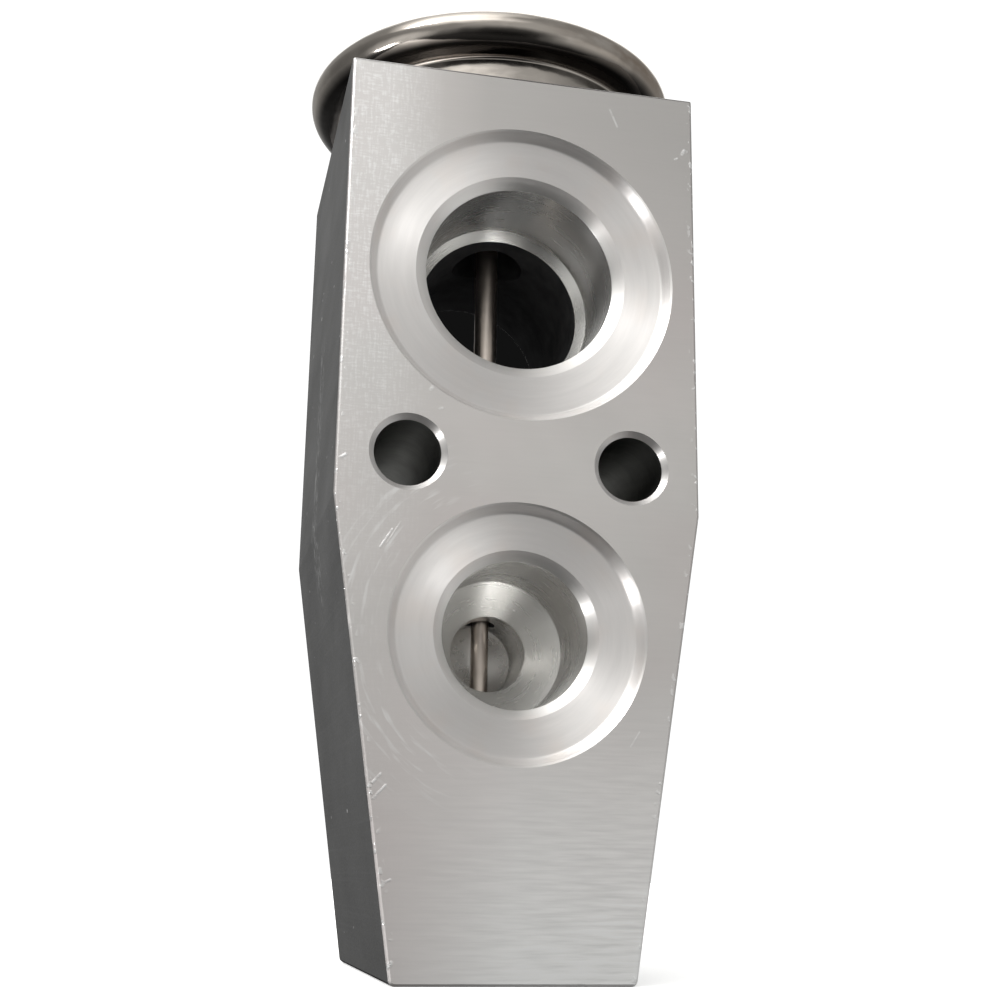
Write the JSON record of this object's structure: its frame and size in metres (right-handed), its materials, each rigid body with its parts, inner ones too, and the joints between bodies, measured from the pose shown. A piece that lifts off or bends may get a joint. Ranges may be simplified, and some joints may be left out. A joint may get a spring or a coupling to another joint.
{
  "type": "expansion valve",
  "caption": "Block-type expansion valve: an aluminium block with suction and liquid ports, a push rod that opens a ball valve, and a stainless diaphragm head on top.",
  "frame": {"origin": "middle of the flat base, on the axis of the head, rod and adjusting nut", "axes": "+Z from the base to the head, +Y out of the face for the pipes, -Y out of the face for the evaporator, +X across the block"},
  "size_m": [0.0416, 0.0416, 0.1029],
  "materials": {
    "block_aluminium": "milled faces, sides dark as extruded",
    "head_stainless": "drawn stainless sheet, faintly tinted at the welded rim",
    "rod_steel": "ground bright",
    "spring_steel": "drawn wire",
    "seal_rubber": "matt moulded",
    "nut_brass": "turned"
  },
  "bodies": {
    "body": {"valve_body": "block_aluminium", "head_housing": "head_stainless", "head_cover": "head_stainless", "diaphragm": "head_stainless", "fill_plug": "head_stainless", "head_gasket": "seal_rubber", "rod_seal": "seal_rubber", "backup_washer": "rod_steel", "upper_washer": "rod_steel", "seal_retainer": "spring_steel", "valve_spring": "spring_steel"},
    "pushrod": {"push_rod": "rod_steel", "diaphragm_plate": "rod_steel", "valve_ball": "rod_steel", "ball_carrier": "rod_steel", "damper": "spring_steel"},
    "adjuster_ring": {"adjuster_seal": "seal_rubber"},
    "adjuster": {"adjusting_nut": "nut_brass"}
  },
  "joints": [
    {"name": "valve_lift", "type": "slide", "parent": "body", "child": "pushrod", "axis": [0, 0, 1], "range_m": [-0.0004, 0.00035], "stiffness_N_per_m": 8000, "deforming": ["valve_spring", "diaphragm"]},
    {"name": "adjuster_travel", "type": "slide", "parent": "body", "child": "adjuster_ring", "axis": [0, 0, 1], "range_m": [-0.001, 0.001]},
    {"name": "adjuster_turn", "type": "hinge", "parent": "adjuster_ring", "child": "adjuster", "pos_m": [0, 0, 0.0013], "axis": [0, 0, 1], "range_deg": [-360, 360]}
  ],
  "couplings": [
    {"joint": "adjuster_travel", "follows": "adjuster_turn", "m_per_rad": 0.00015915}
  ]
}
